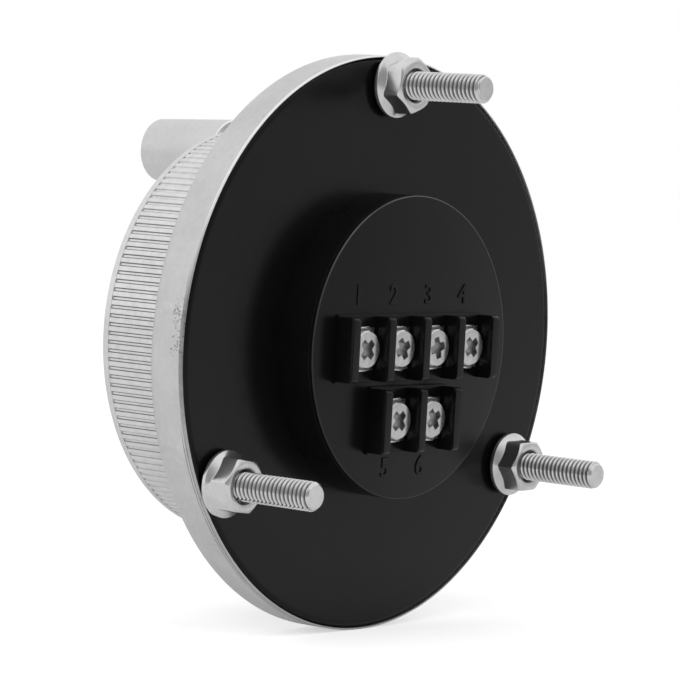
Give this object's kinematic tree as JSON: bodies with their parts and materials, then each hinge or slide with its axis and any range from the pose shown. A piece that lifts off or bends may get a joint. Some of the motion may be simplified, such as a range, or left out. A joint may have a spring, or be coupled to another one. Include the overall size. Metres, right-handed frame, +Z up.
{
  "type": "manual pulse generator",
  "caption": "Panel-mounted crank-wheel pulse encoder: round flange with rear studs and nuts, screw-terminal boss, ribbed wheel, spinning crank handle, magnetic detent.",
  "frame": {"origin": "on the shaft axis, in the rear seat face of the flange, which touches the panel", "axes": "+Y out of the back along the studs, -Y out of the front towards the crank handle, +Z up through the uppermost stud"},
  "size_m": [0.08, 0.0564, 0.0805],
  "materials": {
    "silver_anodised": "fine bead-blasted, clear anodised",
    "turned_aluminium": "turned with fine rings, clear anodised",
    "black_anodised": "satin black anodised, light engraved scale",
    "black_plastic": "fine-grained black moulding",
    "plated_steel": "bright zinc plated",
    "bearing_steel": "ground and polished",
    "spring_steel": "dark oiled",
    "soft_iron": "stamped, light oil",
    "ferrite": "sintered, matte",
    "brass": "turned and stamped",
    "nickel_brass": "nickel plated",
    "etched_disc": "thin etched sheet",
    "lamp_resin": "clear resin",
    "sensor_resin": "dark filter resin",
    "board_laminate": "green lacquered laminate",
    "chip_body": "moulded, matte",
    "ceramic_chip": "fired, with tinned ends"
  },
  "bodies": {
    "housing": {"flange_housing": "silver_anodised", "rear_cover": "black_plastic", "terminal_lid": "black_plastic", "terminal_plates": "nickel_brass", "clamp_washers": "plated_steel", "terminal_screws": "plated_steel", "mounting_studs": "plated_steel", "flange_nuts": "plated_steel", "front_outer_ring": "bearing_steel", "rear_outer_ring": "bearing_steel", "detent_poles": "soft_iron", "detent_magnets": "ferrite", "sensor_housing": "black_plastic", "emitter_lamp": "lamp_resin", "photo_sensor": "sensor_resin", "slit_mask": "etched_disc", "circuit_board": "board_laminate", "board_screws": "plated_steel", "driver_chip": "chip_body", "board_capacitors": "ceramic_chip"},
    "rotor": {"handwheel": "turned_aluminium", "dial_ring": "black_anodised", "dial_screws": "plated_steel", "hub_cap": "turned_aluminium", "wheel_screw": "plated_steel", "wheel_washer": "plated_steel", "handle_screw": "plated_steel", "handle_washer": "brass", "main_shaft": "bearing_steel", "front_inner_ring": "bearing_steel", "rear_inner_ring": "bearing_steel", "bearing_spacer": "plated_steel", "detent_rotor": "soft_iron", "disc_hub": "brass", "code_disc": "etched_disc", "hub_clip": "spring_steel"},
    "handle": {"crank_handle": "turned_aluminium", "handle_plug": "turned_aluminium"},
    "front_ball_set": {"front_balls": "bearing_steel", "front_cage": "brass"},
    "rear_ball_set": {"rear_balls": "bearing_steel", "rear_cage": "brass"}
  },
  "joints": [
    {"name": "wheel_spin", "type": "hinge", "parent": "housing", "child": "rotor", "pos_m": [0, 0, 0], "axis": [0, -1, 0], "continuous": true},
    {"name": "handle_spin", "type": "hinge", "parent": "rotor", "child": "handle", "pos_m": [0.00307, -0.03, 0.02496], "axis": [0, -1, 0], "continuous": true},
    {"name": "front_ball_orbit", "type": "hinge", "parent": "housing", "child": "front_ball_set", "pos_m": [0, -0.0135, 0], "axis": [0, -1, 0], "continuous": true},
    {"name": "rear_ball_orbit", "type": "hinge", "parent": "housing", "child": "rear_ball_set", "pos_m": [0, -0.0063, 0], "axis": [0, -1, 0], "continuous": true}
  ],
  "couplings": [
    {"joint": "front_ball_orbit", "follows": "wheel_spin", "ratio": 0.4167},
    {"joint": "rear_ball_orbit", "follows": "wheel_spin", "ratio": 0.4167}
  ]
}
